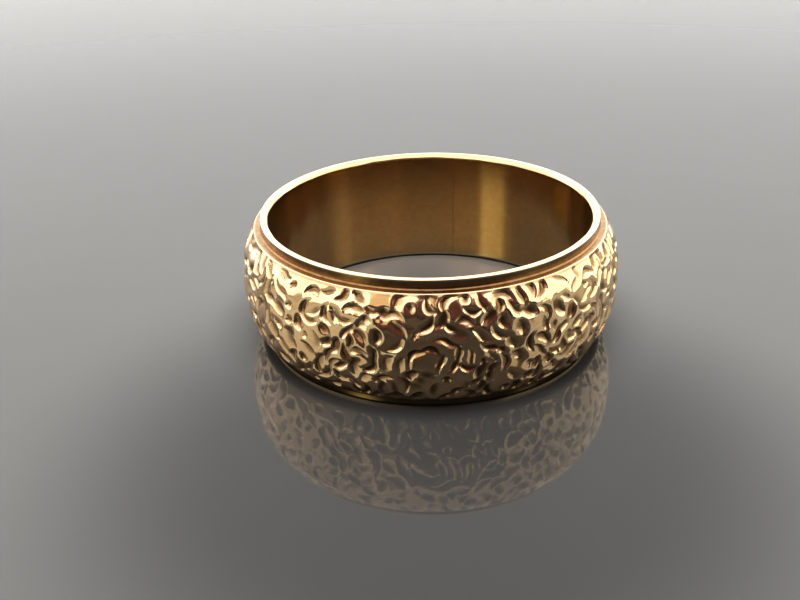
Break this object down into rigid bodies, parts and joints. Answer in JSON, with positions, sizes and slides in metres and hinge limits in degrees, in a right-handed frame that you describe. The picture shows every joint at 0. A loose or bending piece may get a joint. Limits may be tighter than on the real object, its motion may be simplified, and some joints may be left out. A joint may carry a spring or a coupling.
{
  "type": "wedding band",
  "caption": "Broad gold wedding band with a plain polished liner standing proud as a rim on both edges and a domed outer band patterned with crescent dents.",
  "frame": {"origin": "centre of the annular face that the ring rests on", "axes": "+Z along the ring's axis, upwards when the ring lies flat; +X and +Y across the ring, with the liner's closing joint near +Y"},
  "size_m": [0.0218, 0.0218, 0.0073],
  "materials": {
    "polished_gold": "high polish on the rims and a little duller in the bore, warm yellow gold",
    "patterned_gold": "polished and dented, slightly rosier gold, darker in the dents",
    "gold_solder": "satin, a shade deeper than the band"
  },
  "bodies": {
    "root": {"liner_sleeve": "polished_gold", "liner_butt_joint": "gold_solder", "patterned_band": "patterned_gold", "band_butt_joint": "gold_solder", "upper_solder_fillet": "gold_solder", "lower_solder_fillet": "gold_solder"}
  },
  "joints": []
}
